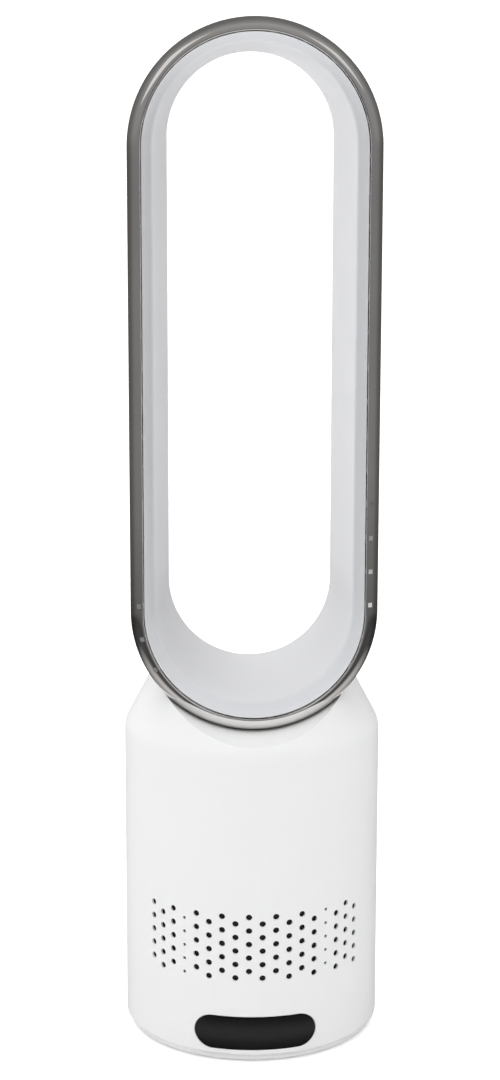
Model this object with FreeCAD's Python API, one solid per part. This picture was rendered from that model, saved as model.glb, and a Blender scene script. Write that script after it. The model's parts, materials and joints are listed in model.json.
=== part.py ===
import FreeCAD, Part
import math
import os

# Bladeless tower fan. Millimetres, +Z up, front of the fan towards -Y.
# The origin is on the vertical axis of the base, on the surface that the fan stands on.

V = FreeCAD.Vector
Y_AXIS = V(0, 1, 0)
Z_AXIS = V(0, 0, 1)

# ---------------------------------------------------------------- driving dimensions
BASE_RADIUS = 115.0           # cylindrical base, outside
SHELL_WALL = 3.0              # moulded wall of the base
SHELL_BOTTOM = 7.0            # lower edge of the turning base, just above the foot
SHELL_TOP = 274.0             # joint between the base shell and the shoulder cap
CREASE_Z = 284.4              # where the cylinder turns into the sloping shoulder
SHOULDER_SLOPE = 0.53         # radius lost per millimetre of height on the shoulder
CREASE_ROUNDING = 25.0
SHOULDER_CUT_Z = 345.0        # above everything that is left of the shoulder's cone
FIT_GAP = 0.2                 # gap round pieces dropped into the base shell

LOOP_RADIUS = 108.2           # outer half-width of the loop at the front rim
LOOP_ARC_LOW = 400.7          # height of the centre of the lower half-circle
LOOP_ARC_HIGH = 802.8         # height of the centre of the upper half-circle
LOOP_FRONT = -67.0            # front of the rim bead's crest
LOOP_REAR = 72.0              # flat rear face of the loop
LOOP_WALL = 2.4
THROAT_RADIUS = 74.2          # half-width of the opening at its narrowest, near the rear
CHAMFER_RADIUS = 86.9         # where the throat meets the front chamfer
CHAMFER_Y = -45.0
LIP_RADIUS = 96.0             # front edge of the chamfer, inner side of the air slot
BEAD_LIP_RADIUS = 96.8        # inner edge of the rim bead, outer side of the air slot
BEAD_CREST_RADIUS = 98.2      # foremost line of the bead, close to its inner edge
BEAD_WALL = 2.0
BEAD_BACK = -54.0             # joint between the bead and the outer shell
REAR_RADIUS = 101.5           # outer half-width of the loop near its rear
REAR_ROUNDING = 8.0
REAR_SEAM_RADIUS = 88.0       # seam between the two loop shells, on the rear face
SPACER_COUNT = 48             # bridges across the air slot, evenly spaced
SPACER_RADIUS = 100.5         # line that the spacing is measured along
SADDLE_GAP = 1.2              # gap between the loop and the shoulder it sits in

HOLE_COLUMNS = 18             # columns of inlet holes at the front, and as many at the rear
HOLE_COLUMN_PITCH_DEG = 6.0
HOLE_ROWS = 5
HOLE_RADIUS = 2.8
THIN_WALL = 1.8               # the shell is thinner where the inlet holes are
THIN_BOTTOM = 76.0
THIN_TOP = 148.0
SMALL_HOLE_RADIUS = 1.5       # the columns next to the mould's parting lines
SMALL_HOLE_ANGLE = 33.0
HOLE_ROW_PITCH = 12.65
HOLE_TOP_Z = 137.4

WINDOW_Z = 28.0               # centre of the display window
WINDOW_HALF_WIDTH = 53.6
WINDOW_HALF_HEIGHT = 15.6

FOOT_RADIUS = 112.0
FOOT_BOTTOM = 1.2             # the rubber feet hold the foot plate clear of the table
FOOT_FLOOR_TOP = 3.2
FOOT_TOP = 6.4
FEET_COUNT = 6
FEET_RADIUS = 7.0
FEET_CIRCLE = 98.0

SHELL_INNER = BASE_RADIUS - SHELL_WALL
DROP_IN_RADIUS = SHELL_INNER - FIT_GAP
PEG_RADIUS = 2.0              # the stop peg under the pan
PEG_CIRCLE = 99.75
BOSS_RADIUS = 4.4             # screw bosses of the base shell
BOSS_CIRCLE = 108.2
BOSS_TOP = 36.0
BOSS_START_DEG = 45.0
INLET_Z = 30.0                # power inlet, at the rear
INLET_NOSE_RADIUS = 5.2

BOARD_X0 = -104.0             # control board
BOARD_X1 = -36.0
BOARD_HALF_Y = 27.0
BOARD_Z = 18.5
BOARD_THICKNESS = 1.6
DISPLAY_BOARD_Y = -100.0
WINDOW_RECESS = 0.3
WINDOW_LIP_ROUNDING = 1.0
MOTOR_EAR_Y = 30.0

SPINDLE_RADIUS = 14.0
SPINDLE_BORE = 9.0
SPINDLE_TOP = 24.3
RETAINER_SCREW_CIRCLE = 11.5
RUNNING_GAP = 0.05            # radial clearance of a shaft in its bearing
PAN_BOTTOM = 12.0
PAN_TOP = 14.5
SWING_DEG = 45.0              # the head swings this far to each side

BALL_RADIUS = 3.0
BALL_COUNT = 24
BALL_GAP = 0.15               # running clearance between a ball and each groove
BALL_CIRCLE = 86.0
BALL_Z = 7.6
RACE_HALF_WIDTH = 6.0
GROOVE_RADIUS = 3.3

GEAR_MODULE = 1.5
SUN_TEETH = 60
PINION_TEETH = 15
PRESSURE_DEG = 20.0
BACKLASH = 0.25
GEAR_BOTTOM = 6.5
GEAR_TOP = 11.1
PINION_X = GEAR_MODULE * (SUN_TEETH + PINION_TEETH) / 2

TRAY_BOTTOM = 60.0
TRAY_TOP = 62.5
BELLMOUTH_Z = 162.0
EYE_RADIUS = 58.0             # throat of the bellmouth
IMPELLER_RADIUS = 84.0
HUB_NOSE_Z = 180.0
HUB_BACK_Z = 212.0
DUCT_RADIUS = 92.0
MOTOR_RADIUS = 30.0
MOTOR_BOTTOM = 218.0
MOTOR_TOP = 258.0
BUCKET_RADIUS = 42.0
SHAFT_RADIUS = 2.5
HOUSING_WALL = 2.5
HOUSING_TOP = 258.0
IMPELLER_BLADES = 11
DIFFUSER_VANES = 9

NECK_RADIUS = 51.0
NECK_WALL = 3.0
NECK_Y = 2.0
NECK_FLANGE_Z = 274.5
NECK_FLANGE_RADIUS = 65.0
NECK_SCREW_CIRCLE = 57.5
GASKET_THICKNESS = 2.0
LEAD_CIRCLE = 100.0           # the motor's lead runs up outside the fan housing
LEAD_HOLE_RADIUS = 2.2
SCREW_RADIUS = 1.5


# ---------------------------------------------------------------- small helpers
def cylinder(radius, z0, z1, x=0.0, y=0.0):
    return Part.makeCylinder(radius, z1 - z0, V(x, y, z0))


def tube(inner, outer, z0, z1, x=0.0, y=0.0):
    return cylinder(outer, z0, z1, x, y).cut(cylinder(inner, z0 - 1, z1 + 1, x, y))


def block(x0, x1, y0, y1, z0, z1):
    return Part.makeBox(x1 - x0, y1 - y0, z1 - z0, V(x0, y0, z0))


def turned(shape, degrees, centre=V(0, 0, 0), axis=Z_AXIS):
    copy = shape.copy()
    copy.rotate(centre, axis, degrees)
    return copy


def spread(shape, count, start=0.0):
    """Copies of a shape, evenly round the vertical axis."""
    return [turned(shape, start + i * 360.0 / count) for i in range(count)]


def joined(shapes):
    return shapes[0].fuse(shapes[1:]).removeSplitter()


def outline_face(path, place):
    """A flat face from a closed path of points. An entry ("arc", middle, end) makes that
    side an arc. place turns a path point into a point in space."""
    edges = []
    last = path[0]
    for entry in path[1:] + [path[0]]:
        if entry[0] == "arc":
            edges.append(Part.Arc(place(last), place(entry[1]), place(entry[2])).toShape())
            last = entry[2]
        else:
            edges.append(Part.makeLine(place(last), place(entry)))
            last = entry
    return Part.Face(Part.Wire(edges))


def lathe(path):
    """A solid of revolution about the vertical axis from a path of (radius, height)."""
    face = outline_face(path, lambda p: V(p[0], 0, p[1]))
    return face.revolve(V(0, 0, 0), Z_AXIS, 360)


def loop_ring(path):
    """Sweeps a section of (half-width, y) points round the loop: two half-circles joined
    by two straight sides."""
    def section(height):
        return outline_face(path, lambda p: V(p[0], p[1], height))

    low = section(LOOP_ARC_LOW).revolve(V(0, 0, LOOP_ARC_LOW), Y_AXIS, 180)
    high = section(LOOP_ARC_HIGH).revolve(V(0, 0, LOOP_ARC_HIGH), Y_AXIS, -180)
    right = section(LOOP_ARC_LOW).extrude(V(0, 0, LOOP_ARC_HIGH - LOOP_ARC_LOW))
    left = turned(right, 180, V(0, 0, 0), Y_AXIS)
    left.translate(V(0, 0, LOOP_ARC_LOW + LOOP_ARC_HIGH))
    return joined([low, right, high, left])


def on_arc(centre, radius, degrees):
    """A point of an arc in a (first, second) coordinate path."""
    angle = math.radians(degrees)
    return (centre[0] + radius * math.cos(angle), centre[1] + radius * math.sin(angle))


def obround_prism(half_width, half_height, y0, y1):
    """A bar with fully rounded ends, running along Y at the height of the window."""
    straight = half_width - half_height
    bar = block(-straight, straight, y0, y1, WINDOW_Z - half_height, WINDOW_Z + half_height)
    ends = []
    for side in (-straight, straight):
        ends.append(Part.makeCylinder(half_height, y1 - y0, V(side, y0, WINDOW_Z), Y_AXIS))
    return joined([bar] + ends)


def screw(x, y, z_head, length, direction=-1):
    """A pan-head screw. The head's seat is at z_head and the shank points in direction."""
    end = z_head + direction * length
    shank = cylinder(SCREW_RADIUS, min(z_head, end), max(z_head, end), x, y)
    head_end = z_head - direction * 2.0
    head = cylinder(2.8, min(z_head, head_end), max(z_head, head_end), x, y)
    cross = block(x - 1.5, x + 1.5, y - 0.35, y + 0.35, head_end - 0.8, head_end + 0.8)
    cross = cross.fuse(block(x - 0.35, x + 0.35, y - 1.5, y + 1.5, head_end - 0.8, head_end + 0.8))
    return shank.fuse(head).cut(cross).removeSplitter()


def bent_lead(radius, path):
    """A round lead along a path of straight runs and tangent arcs, given as points and
    ("arc", middle, end) entries, each an (x, y, z) tuple."""
    edges = []
    last = V(*path[0])
    for entry in path[1:]:
        if entry[0] == "arc":
            edges.append(Part.Arc(last, V(*entry[1]), V(*entry[2])).toShape())
            last = V(*entry[2])
        else:
            edges.append(Part.makeLine(last, V(*entry)))
            last = V(*entry)
    wire = Part.Wire(edges)
    first = edges[0]
    normal = first.tangentAt(first.FirstParameter)
    disc = Part.Wire(Part.makeCircle(radius, V(*path[0]), normal))
    return wire.makePipeShell([disc], True, False)


# ---------------------------------------------------------------- foot: stays still
def foot_plate():
    edge = 3.0
    rim_inner = FOOT_RADIUS - 2.5
    corner = on_arc((FOOT_RADIUS - edge, FOOT_BOTTOM + edge), edge, -45)
    plate = lathe([
        (0, FOOT_BOTTOM), (FOOT_RADIUS - edge, FOOT_BOTTOM),
        ("arc", corner, (FOOT_RADIUS, FOOT_BOTTOM + edge)),
        (FOOT_RADIUS, FOOT_TOP), (rim_inner, FOOT_TOP), (rim_inner, FOOT_FLOOR_TOP),
        (20, FOOT_FLOOR_TOP), (20, GEAR_BOTTOM), (SPINDLE_RADIUS, GEAR_BOTTOM),
        (SPINDLE_RADIUS, SPINDLE_TOP), (SPINDLE_BORE, SPINDLE_TOP),
        (SPINDLE_BORE, FOOT_FLOOR_TOP), (0, FOOT_FLOOR_TOP),
    ])
    pocket = cylinder(FEET_RADIUS, FOOT_BOTTOM - 1, FOOT_BOTTOM + 1.0, FEET_CIRCLE)
    plate = plate.cut(Part.makeCompound(spread(pocket, FEET_COUNT)))
    # Two lugs that the peg under the pan meets at each end of the swing.
    lug = tube(97.0, 102.5, FOOT_FLOOR_TOP, 9.0).common(block(90, 110, -3, 3, 0, 20))
    reach = SWING_DEG + math.degrees((PEG_RADIUS + 3.0 + 0.3) / PEG_CIRCLE)
    lugs = [turned(lug, 90 + reach), turned(lug, 90 - reach)]
    plate = joined([plate] + lugs)
    pilot = cylinder(SCREW_RADIUS, SPINDLE_TOP - 10, SPINDLE_TOP + 1, RETAINER_SCREW_CIRCLE)
    return plate.cut(Part.makeCompound(spread(pilot, 3, 30)))


def ballast_plate():
    plate = tube(30.0, 75.0, FOOT_FLOOR_TOP, 6.0)
    slot = cylinder(3.0, 0, 10, 52)
    return plate.cut(Part.makeCompound(spread(slot, 4, 45)))


def rubber_feet():
    foot = cylinder(FEET_RADIUS, 0, FOOT_BOTTOM + 1.0, FEET_CIRCLE)
    foot = foot.makeFillet(0.6, [e for e in foot.Edges if e.BoundBox.ZMax < 0.1])
    return Part.makeCompound(spread(foot, FEET_COUNT))


def race(bottom, top, groove_z):
    ring = tube(BALL_CIRCLE - RACE_HALF_WIDTH, BALL_CIRCLE + RACE_HALF_WIDTH, bottom, top)
    return ring.cut(Part.makeTorus(BALL_CIRCLE, GROOVE_RADIUS, V(0, 0, groove_z)))


def lower_bearing_race():
    groove_z = BALL_Z + GROOVE_RADIUS - BALL_RADIUS - BALL_GAP
    return race(FOOT_FLOOR_TOP, 6.2, groove_z)


def gear_blank(teeth, bottom, top, phase_deg):
    """A spur gear with stub teeth and involute flanks. A tooth is centred at phase_deg."""
    pitch_radius = GEAR_MODULE * teeth / 2
    base_radius = pitch_radius * math.cos(math.radians(PRESSURE_DEG))
    tip_radius = pitch_radius + 0.8 * GEAR_MODULE
    root_radius = pitch_radius - 1.05 * GEAR_MODULE

    def involute(radius):
        ratio = max(1.0, radius / base_radius)
        return math.sqrt(ratio * ratio - 1) - math.acos(1 / ratio)

    half_tooth = (math.pi * GEAR_MODULE / 2 - BACKLASH) / 2 / pitch_radius
    flank_radii = [root_radius]
    start = max(root_radius + 0.05, base_radius)
    for step in range(5):
        flank_radii.append(start + (tip_radius - start) * step / 4)
    points = []
    for tooth in range(teeth):
        centre = math.radians(phase_deg) + tooth * 2 * math.pi / teeth
        flank = []
        for radius in flank_radii:
            half = half_tooth + involute(pitch_radius) - involute(radius)
            flank.append((radius, half))
        for radius, half in flank:
            points.append(V(radius * math.cos(centre - half), radius * math.sin(centre - half), bottom))
        for radius, half in reversed(flank):
            points.append(V(radius * math.cos(centre + half), radius * math.sin(centre + half), bottom))
    wire = Part.makePolygon(points + [points[0]])
    return Part.Face(wire).extrude(V(0, 0, top - bottom))


def fixed_sun_gear():
    gear = gear_blank(SUN_TEETH, GEAR_BOTTOM, GEAR_TOP, 0.0)
    gear = gear.cut(cylinder(SPINDLE_RADIUS, 0, 20))
    gear = gear.cut(tube(20.0, 38.0, GEAR_BOTTOM + 1.6, 20))
    window = cylinder(6.0, 0, 20, 29.0)
    return gear.cut(Part.makeCompound(spread(window, 6, 30)))


def spindle_retainer():
    ring = tube(SPINDLE_BORE, 18.0, SPINDLE_TOP, SPINDLE_TOP + 3.0)
    hole = cylinder(SCREW_RADIUS, SPINDLE_TOP - 1, SPINDLE_TOP + 4, RETAINER_SCREW_CIRCLE)
    return ring.cut(Part.makeCompound(spread(hole, 3, 30)))


def retainer_screws():
    one = screw(RETAINER_SCREW_CIRCLE, 0, SPINDLE_TOP + 3.0, 12.0)
    return Part.makeCompound(spread(one, 3, 30))


# ---------------------------------------------------------------- ball bearing cage
def bearing_cage():
    ring = tube(BALL_CIRCLE - RACE_HALF_WIDTH + 0.5, BALL_CIRCLE + RACE_HALF_WIDTH - 0.5, 6.9, 8.3)
    pocket = cylinder(BALL_RADIUS + BALL_GAP, 5, 10, BALL_CIRCLE)
    return ring.cut(Part.makeCompound(spread(pocket, BALL_COUNT)))


def bearing_balls():
    ball = Part.makeSphere(BALL_RADIUS, V(BALL_CIRCLE, 0, BALL_Z))
    return Part.makeCompound(spread(ball, BALL_COUNT))


# ---------------------------------------------------------------- head: lower part
def base_pan():
    pan = cylinder(DROP_IN_RADIUS, PAN_BOTTOM, PAN_TOP)
    collar = cylinder(19.0, PAN_BOTTOM, SPINDLE_TOP - 0.3)
    lip = tube(DROP_IN_RADIUS - 2.2, DROP_IN_RADIUS, PAN_TOP, PAN_TOP + 4.0)
    lip = lip.cut(block(-62, 62, -120, -60, 0, 50))
    boss_room = cylinder(BOSS_RADIUS + FIT_GAP, 0, 50, BOSS_CIRCLE)
    lip = lip.cut(Part.makeCompound(spread(boss_room, 4, BOSS_START_DEG)))
    peg = cylinder(PEG_RADIUS, FOOT_FLOOR_TOP + 1.0, PAN_BOTTOM, 0, PEG_CIRCLE)
    posts = []
    for x in (BOARD_X0 + 8, BOARD_X1 - 6):
        for y in (-BOARD_HALF_Y + 5, BOARD_HALF_Y - 5):
            posts.append(cylinder(3.0, PAN_TOP, BOARD_Z, x, y))
    pan = joined([pan, collar, lip, peg] + posts)
    cuts = [cylinder(SPINDLE_RADIUS + RUNNING_GAP, 0, 40), cylinder(3.2, 0, 20, PINION_X)]
    cuts += spread(cylinder(SCREW_RADIUS, 0, 20, BOSS_CIRCLE), 4, BOSS_START_DEG)
    return pan.cut(Part.makeCompound(cuts))


def upper_bearing_race():
    groove_z = BALL_Z - GROOVE_RADIUS + BALL_RADIUS + BALL_GAP
    return race(9.0, PAN_BOTTOM, groove_z)


def shell_screws():
    one = screw(BOSS_CIRCLE, 0, PAN_BOTTOM, 14.0, 1)
    return Part.makeCompound(spread(one, 4, BOSS_START_DEG))


def oscillation_motor():
    can = cylinder(24.0, PAN_TOP, 36.0, PINION_X)
    top_step = cylinder(18.0, 36.0, 38.0, PINION_X)
    ears = block(PINION_X - 5, PINION_X + 5, -MOTOR_EAR_Y - 5, MOTOR_EAR_Y + 5, PAN_TOP, PAN_TOP + 2)
    motor = joined([can, top_step, ears])
    for y in (-MOTOR_EAR_Y, MOTOR_EAR_Y):
        motor = motor.cut(cylinder(SCREW_RADIUS, 0, 20, PINION_X, y))
    return motor.cut(cylinder(SHAFT_RADIUS + RUNNING_GAP, 0, 25.0, PINION_X))


def motor_ear_screws():
    screws = [screw(PINION_X, y, PAN_TOP + 2, 2.0) for y in (-MOTOR_EAR_Y, MOTOR_EAR_Y)]
    return Part.makeCompound(screws)


def drive_pinion():
    gear = gear_blank(PINION_TEETH, GEAR_BOTTOM, GEAR_TOP, 0.0)
    gear.translate(V(PINION_X, 0, 0))
    shaft = cylinder(SHAFT_RADIUS, GEAR_BOTTOM, 24.0, PINION_X)
    return joined([gear, shaft])


def hole_cutters():
    """Drills for both groups of inlet holes. Every other column sits half a pitch lower."""
    cutters = []
    for facing in (0.0, 180.0):
        for column in range(HOLE_COLUMNS):
            angle = (column - (HOLE_COLUMNS - 1) / 2) * HOLE_COLUMN_PITCH_DEG
            small = abs(abs(angle) - SMALL_HOLE_ANGLE) < 1
            radius = SMALL_HOLE_RADIUS if small else HOLE_RADIUS
            drop = HOLE_ROW_PITCH / 2 if column % 2 == 1 else 0.0
            for row in range(HOLE_ROWS):
                height = HOLE_TOP_Z - drop - row * HOLE_ROW_PITCH
                drill = Part.makeCylinder(radius, 12, V(0, -SHELL_INNER + 5, height), V(0, -1, 0))
                cutters.append(turned(drill, facing + angle))
    return cutters


def base_shell():
    edge = 2.5
    corner = on_arc((BASE_RADIUS - edge, SHELL_BOTTOM + edge), edge, -45)
    thin_inner = BASE_RADIUS - THIN_WALL
    ramp = thin_inner - SHELL_INNER
    shell = lathe([
        (SHELL_INNER, SHELL_BOTTOM), (BASE_RADIUS - edge, SHELL_BOTTOM),
        ("arc", corner, (BASE_RADIUS, SHELL_BOTTOM + edge)),
        (BASE_RADIUS, SHELL_TOP), (SHELL_INNER, SHELL_TOP),
        (SHELL_INNER, THIN_TOP + ramp), (thin_inner, THIN_TOP),
        (thin_inner, THIN_BOTTOM), (SHELL_INNER, THIN_BOTTOM - ramp),
    ])
    shell = shell.cut(obround_prism(WINDOW_HALF_WIDTH, WINDOW_HALF_HEIGHT, -130, -90))
    lip_edges = [e for e in shell.Edges if is_window_lip(e)]
    shell = shell.makeFillet(WINDOW_LIP_ROUNDING, lip_edges)
    ledge = tube(SHELL_INNER - 3.0, SHELL_INNER + 1, TRAY_BOTTOM - 2.5, TRAY_BOTTOM)
    boss = cylinder(BOSS_RADIUS, PAN_TOP, BOSS_TOP, BOSS_CIRCLE)
    bosses = [b.common(cylinder(SHELL_INNER + 1, 0, 50)) for b in spread(boss, 4, BOSS_START_DEG)]
    shell = joined([shell, ledge] + bosses)
    pilot = cylinder(SCREW_RADIUS, 0, PAN_BOTTOM + 14.0, BOSS_CIRCLE)
    shell = shell.cut(Part.makeCompound(spread(pilot, 4, BOSS_START_DEG)))
    shell = shell.cut(Part.makeCylinder(INLET_NOSE_RADIUS + 0.1, 40, V(0, 90, INLET_Z), Y_AXIS))
    return shell.cut(Part.makeCompound(hole_cutters()))


def is_window_lip(edge):
    """True for the edges where the display cut-out meets the outside of the shell."""
    box = edge.BoundBox
    in_window = box.YMax < 0 and box.ZMin > WINDOW_Z - WINDOW_HALF_HEIGHT - 1
    in_window = in_window and box.ZMax < WINDOW_Z + WINDOW_HALF_HEIGHT + 1
    point = edge.valueAt((edge.FirstParameter + edge.LastParameter) / 2)
    return in_window and math.hypot(point.x, point.y) > BASE_RADIUS - 0.1


# ---------------------------------------------------------------- display
def display_window():
    lens = tube(SHELL_INNER, BASE_RADIUS - WINDOW_RECESS, 0, 60)
    gap = 0.1
    return lens.common(obround_prism(WINDOW_HALF_WIDTH - gap, WINDOW_HALF_HEIGHT - gap, -130, -80))


def display_bezel():
    plate = tube(SHELL_INNER - 3.0, SHELL_INNER, PAN_TOP, 60)
    plate = plate.common(obround_prism(WINDOW_HALF_WIDTH + 4, WINDOW_HALF_HEIGHT + 3.4, -130, -80))
    return plate.cut(block(-30, 30, -130, -80, WINDOW_Z - 9.5, WINDOW_Z + 9.5))


def display_board():
    return block(-40, 40, DISPLAY_BOARD_Y, DISPLAY_BOARD_Y + BOARD_THICKNESS, 15.0, 41.0)


def display_digits():
    module = block(-22, 22, DISPLAY_BOARD_Y - 8.0, DISPLAY_BOARD_Y, WINDOW_Z - 8, WINDOW_Z + 8)
    edge_frame = block(-20, 20, DISPLAY_BOARD_Y - 9, DISPLAY_BOARD_Y - 7.6, WINDOW_Z - 6.5, WINDOW_Z + 6.5)
    return module.cut(edge_frame)


def ir_receiver():
    body = block(24, 29, DISPLAY_BOARD_Y - 4.0, DISPLAY_BOARD_Y, WINDOW_Z - 4, WINDOW_Z + 3)
    dome = Part.makeSphere(1.9, V(26.5, DISPLAY_BOARD_Y - 4.0, WINDOW_Z))
    return body.fuse(dome).removeSplitter()


# ---------------------------------------------------------------- power and control
def power_inlet():
    body = block(-7, 7, 98, 110.5, INLET_Z - 7, INLET_Z + 7)
    nose = Part.makeCylinder(INLET_NOSE_RADIUS, 4.0, V(0, 110.5, INLET_Z), Y_AXIS)
    socket = Part.makeCylinder(3.2, 14, V(0, 102.5, INLET_Z), Y_AXIS)
    pin = Part.makeCylinder(1.05, 11, V(0, 101.5, INLET_Z), Y_AXIS)
    return body.fuse(nose).cut(socket).fuse(pin).removeSplitter()


def control_board():
    board = block(BOARD_X0, BOARD_X1, -BOARD_HALF_Y, BOARD_HALF_Y, BOARD_Z, BOARD_Z + BOARD_THICKNESS)
    return board.common(cylinder(SHELL_INNER - 1.0, 0, 60))


def board_parts():
    """Capacitors, choke, heat sink and plug headers that stand on the control board."""
    top = BOARD_Z + BOARD_THICKNESS
    parts = [cylinder(5.0, top, top + 16, -62, 14), cylinder(5.0, top, top + 16, -62, 1)]
    parts.append(tube(3.5, 8.0, top, top + 7, -80, 12))
    sink = block(-84, -68, -22, -8, top, top + 3)
    fins = [block(-84 + 4 * i, -82.5 + 4 * i, -22, -8, top + 3, top + 15) for i in range(4)]
    parts.append(joined([sink] + fins))
    parts.append(block(-56, -50, -10, -4, top, top + 2))
    parts.append(block(-43, -37, -26, -20, top, top + 8))
    parts.append(block(-48, -40, 20, 26, top, top + 12))
    parts.append(block(-103, -97, -4, 4, top, top + 6))
    return Part.makeCompound(parts)


def display_lead():
    """A short flat-drawn lead from the display board to its header on the control board."""
    height = BOARD_Z + BOARD_THICKNESS + 4.0
    y0 = DISPLAY_BOARD_Y + BOARD_THICKNESS
    return bent_lead(1.2, [(-38.5, y0, height), (-38.5, -26.0, height)])


def power_lead():
    turn = 21.0
    half = turn * math.sqrt(0.5)
    x_end = -2 * turn
    y_start = 98.0
    y_turn = 26.0 + 2 * turn + 4.0
    first = (-turn + half, y_turn - half, INLET_Z)
    second = (-turn - half, y_turn - 2 * turn + half, INLET_Z)
    return bent_lead(1.6, [
        (0.0, y_start, INLET_Z), (0.0, y_turn, INLET_Z),
        ("arc", first, (-turn, y_turn - turn, INLET_Z)),
        ("arc", second, (x_end, y_turn - 2 * turn, INLET_Z)),
        (x_end, 26.0, INLET_Z),
    ])


def motor_lead():
    """Up through the tray and the bellmouth, then into the side of the fan housing."""
    bottom = BOARD_Z + BOARD_THICKNESS + 6.0
    end_x = -(DUCT_RADIUS + HOUSING_WALL)
    end_z = 232.0
    bend = end_x + LEAD_CIRCLE
    middle = on_arc((end_x, end_z - bend), bend, 135)
    return bent_lead(1.5, [
        (-LEAD_CIRCLE, 0.0, bottom), (-LEAD_CIRCLE, 0.0, end_z - bend),
        ("arc", (middle[0], 0.0, middle[1]), (end_x, 0.0, end_z)),
    ])


# ---------------------------------------------------------------- air inlet
def electronics_tray():
    tray = cylinder(DROP_IN_RADIUS, TRAY_BOTTOM, TRAY_TOP)
    return tray.cut(cylinder(LEAD_HOLE_RADIUS, 0, 100, -LEAD_CIRCLE))


def dust_filter():
    return tube(DROP_IN_RADIUS - 2.0, DROP_IN_RADIUS, 66.0, 158.0)


def filter_frame():
    outer = DROP_IN_RADIUS - 2.2
    inner = outer - 2.4
    rings = [tube(inner, outer, TRAY_TOP, 68.0), tube(inner, outer, 156.0, BELLMOUTH_Z)]
    rib = block(inner, outer, -2.0, 2.0, 68.0, 156.0).common(tube(inner, outer, 60, 170))
    return joined(rings + spread(rib, 12, 15.0))


def inlet_bellmouth():
    bend = 14.0
    plate = 3.0
    outer_r = EYE_RADIUS + bend
    inner_mid = on_arc((outer_r, BELLMOUTH_Z + bend), bend, 225)
    upper_mid = on_arc((outer_r, BELLMOUTH_Z + bend), bend - plate, 225)
    mouth = lathe([
        (DROP_IN_RADIUS, BELLMOUTH_Z), (DROP_IN_RADIUS, BELLMOUTH_Z + plate),
        (outer_r, BELLMOUTH_Z + plate),
        ("arc", upper_mid, (EYE_RADIUS + plate, BELLMOUTH_Z + bend)),
        (EYE_RADIUS, BELLMOUTH_Z + bend), ("arc", inner_mid, (outer_r, BELLMOUTH_Z)),
    ])
    return mouth.cut(cylinder(LEAD_HOLE_RADIUS, 0, 200, -LEAD_CIRCLE))


# ---------------------------------------------------------------- fan unit
def impeller():
    """A mixed-flow wheel: a dished back plate, a boss, and backward-curved blades."""
    dish = lathe([
        (0, HUB_NOSE_Z), (12, HUB_NOSE_Z), ("arc", (40, 200), (IMPELLER_RADIUS - 4, HUB_BACK_Z - 2)),
        (IMPELLER_RADIUS - 4, HUB_BACK_Z), ("arc", (38, 203.5), (12, HUB_BACK_Z - 20)),
        (12, HUB_BACK_Z - 2), (0, HUB_BACK_Z - 2),
    ])
    space = lathe([
        (10, 178.5), (EYE_RADIUS - 1.5, 178.5), ("arc", (66, 192), (IMPELLER_RADIUS, 201)),
        (IMPELLER_RADIUS, HUB_BACK_Z - 1), (IMPELLER_RADIUS - 6, HUB_BACK_Z - 1),
        ("arc", (40, 201.5), (10, HUB_NOSE_Z + 5)),
    ])
    sweep_radius = 62.0
    centre_x = 14.0 + sweep_radius * 0.75
    centre_y = -sweep_radius * 0.66
    strip = tube(sweep_radius - 0.9, sweep_radius + 0.9, 170, 220, centre_x, centre_y)
    strip = strip.common(block(0, 120, -4, 120, 160, 230))
    blades = [blade.common(space) for blade in spread(strip, IMPELLER_BLADES)]
    wheel = joined([dish] + blades)
    return wheel.cut(cylinder(SHAFT_RADIUS, 150, 260))


def impeller_nut():
    nut = Part.Face(Part.makePolygon(
        [V(5.5 * math.cos(math.radians(60 * i)), 5.5 * math.sin(math.radians(60 * i)), 175.0)
         for i in range(7)]))
    return nut.extrude(V(0, 0, 5.0)).cut(cylinder(SHAFT_RADIUS, 150, 260))


def motor_shaft():
    return cylinder(SHAFT_RADIUS, 173.0, MOTOR_TOP)


def rotor_magnet():
    return tube(SHAFT_RADIUS, 12.9, 228.0, 248.0)


def motor_stator():
    ring = tube(22.0, MOTOR_RADIUS - 2.0, 228.0, 248.0)
    tooth = block(14.5, 23, -2.5, 2.5, 229.0, 247.0)
    shoe = tube(13.5, 15.5, 229.0, 247.0).common(block(0, 30, -4.5, 4.5, 200, 260))
    coil = block(16.0, 21.5, -4.0, 4.0, 228.0, 248.0)
    return joined([ring] + spread(tooth.fuse([shoe, coil]), 6))


def motor_can():
    shell = tube(MOTOR_RADIUS - 2.0, MOTOR_RADIUS, MOTOR_BOTTOM, MOTOR_TOP)
    parts = [shell]
    for z0, z1, z2 in ((MOTOR_BOTTOM, MOTOR_BOTTOM + 2.0, MOTOR_BOTTOM + 6.0),
                       (MOTOR_TOP, MOTOR_TOP - 2.0, MOTOR_TOP - 6.0)):
        parts.append(tube(8.0, MOTOR_RADIUS - 1, min(z0, z1), max(z0, z1)))
        parts.append(tube(8.0, 10.5, min(z0, z2), max(z0, z2)))
    can = joined(parts)
    vent = cylinder(3.0, MOTOR_TOP - 3, MOTOR_TOP + 1, 19.0)
    return can.cut(Part.makeCompound(spread(vent, 6, 30)))


def motor_bearings():
    inner = SHAFT_RADIUS + RUNNING_GAP
    low = tube(inner, 8.0, MOTOR_BOTTOM, MOTOR_BOTTOM + 6.0)
    high = tube(inner, 8.0, MOTOR_TOP - 6.0, MOTOR_TOP)
    return Part.makeCompound([low, high])


def motor_mounts():
    """Two soft rings that hold the motor in its bucket and keep its hum out of the base."""
    rings = [tube(MOTOR_RADIUS, BUCKET_RADIUS - 2.5, z, z + 7.0) for z in (222.0, 246.0)]
    return Part.makeCompound(rings)


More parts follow.
